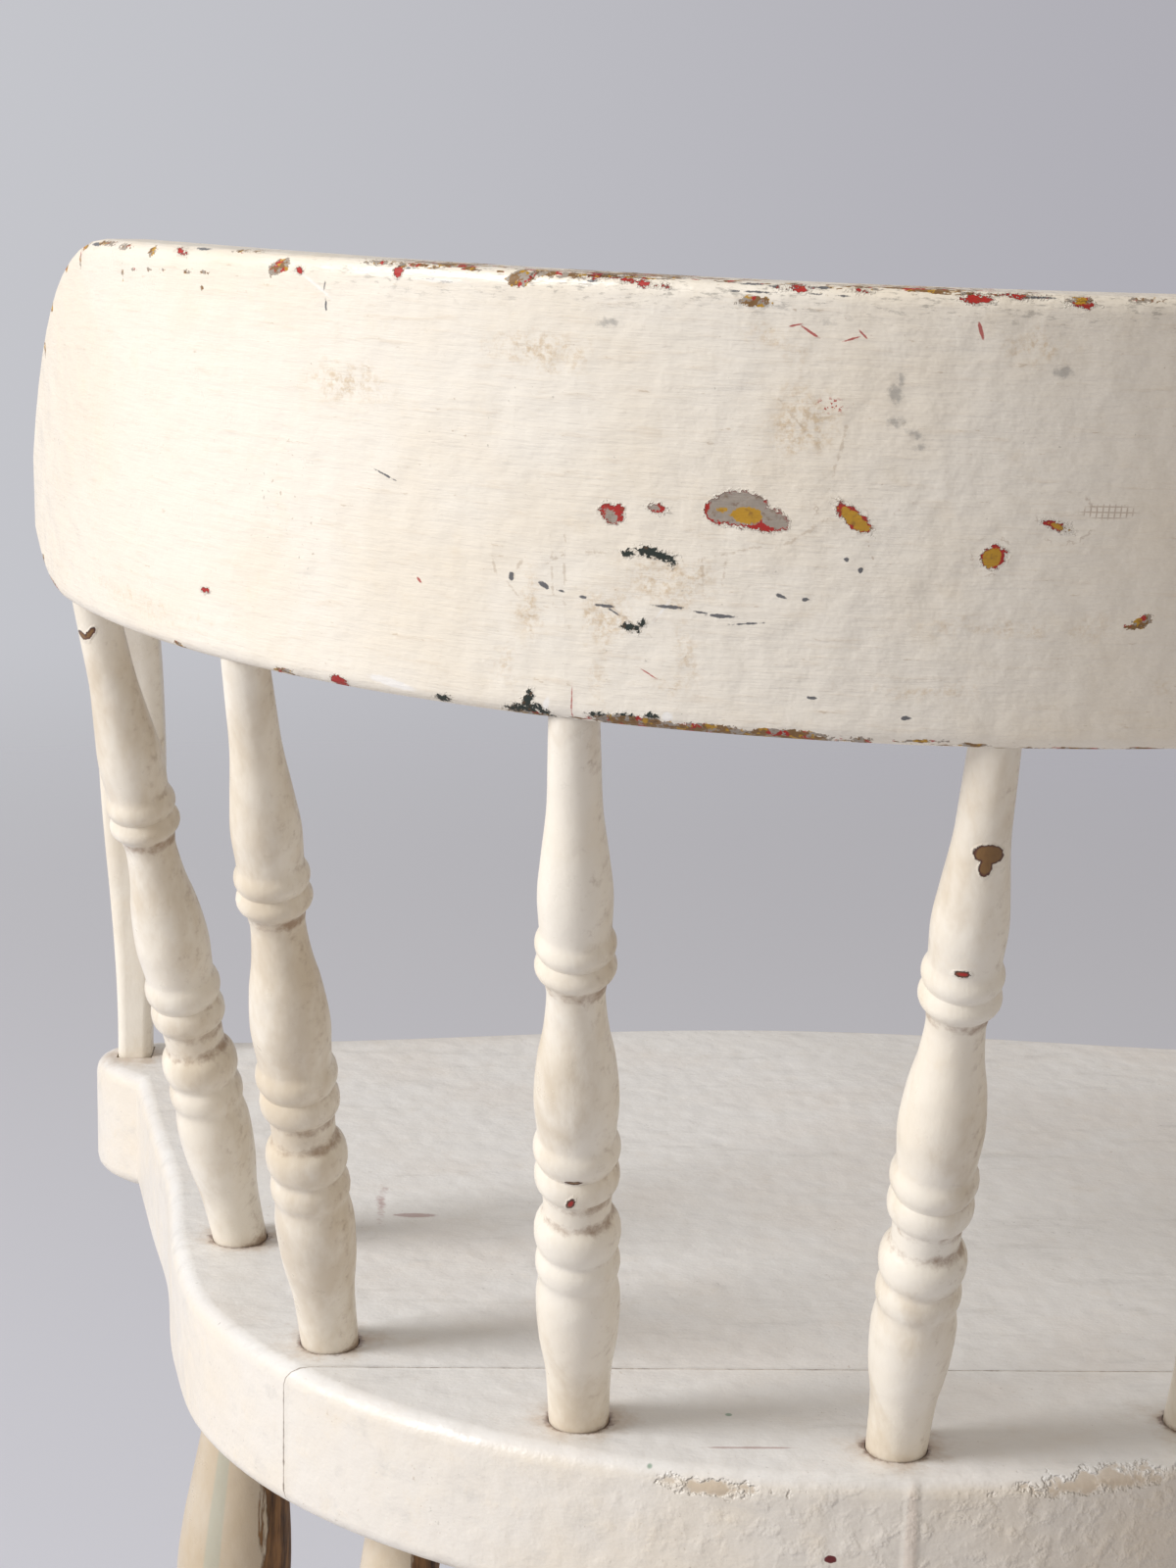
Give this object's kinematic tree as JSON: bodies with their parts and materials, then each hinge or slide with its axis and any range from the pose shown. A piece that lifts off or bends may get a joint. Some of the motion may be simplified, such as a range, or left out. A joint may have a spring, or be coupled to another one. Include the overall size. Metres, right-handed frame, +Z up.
{
  "type": "low-back spindle armchair",
  "caption": "Low-back wooden armchair with a bent crest board, turned spindles and bent arms, in chipped and peeling white paint.",
  "frame": {"origin": "bottom centre of the chair's box, on the floor", "axes": "+Z up; the sitter faces +Y, so the curved back stands on the -Y side; +X is the sitter's right"},
  "size_m": [0.4672, 0.4546, 0.7198],
  "materials": {
    "white_paint": "old glossy cream-white oil paint over red, grey, mustard and green coats on turned and bent hardwood, chipped and grimy",
    "seat_paint": "worn, slightly greyer white oil paint on a glued plank seat",
    "crest_paint": "brushed cream-white oil paint on a bent plank, chipped down to red, mustard, grey and bare wood",
    "painted_screw": "steel wood screws under the same thick white paint"
  },
  "bodies": {
    "root": {"seat_main_board": "seat_paint", "seat_rear_board": "seat_paint", "crest_board": "crest_paint", "back_spindle_1": "white_paint", "back_spindle_2": "white_paint", "back_spindle_3": "white_paint", "back_spindle_4": "white_paint", "back_spindle_5": "white_paint", "back_spindle_6": "white_paint", "back_spindle_7": "white_paint", "arm_left": "white_paint", "arm_right": "white_paint", "arm_screw_left_1": "painted_screw", "arm_screw_left_2": "painted_screw", "arm_screw_right_1": "painted_screw", "arm_screw_right_2": "painted_screw", "front_leg_left": "white_paint", "front_leg_right": "white_paint", "rear_leg_left": "white_paint", "rear_leg_right": "white_paint", "side_stretcher_left": "white_paint", "side_stretcher_right": "white_paint", "front_stretcher": "white_paint", "rear_stretcher": "white_paint"}
  },
  "joints": []
}
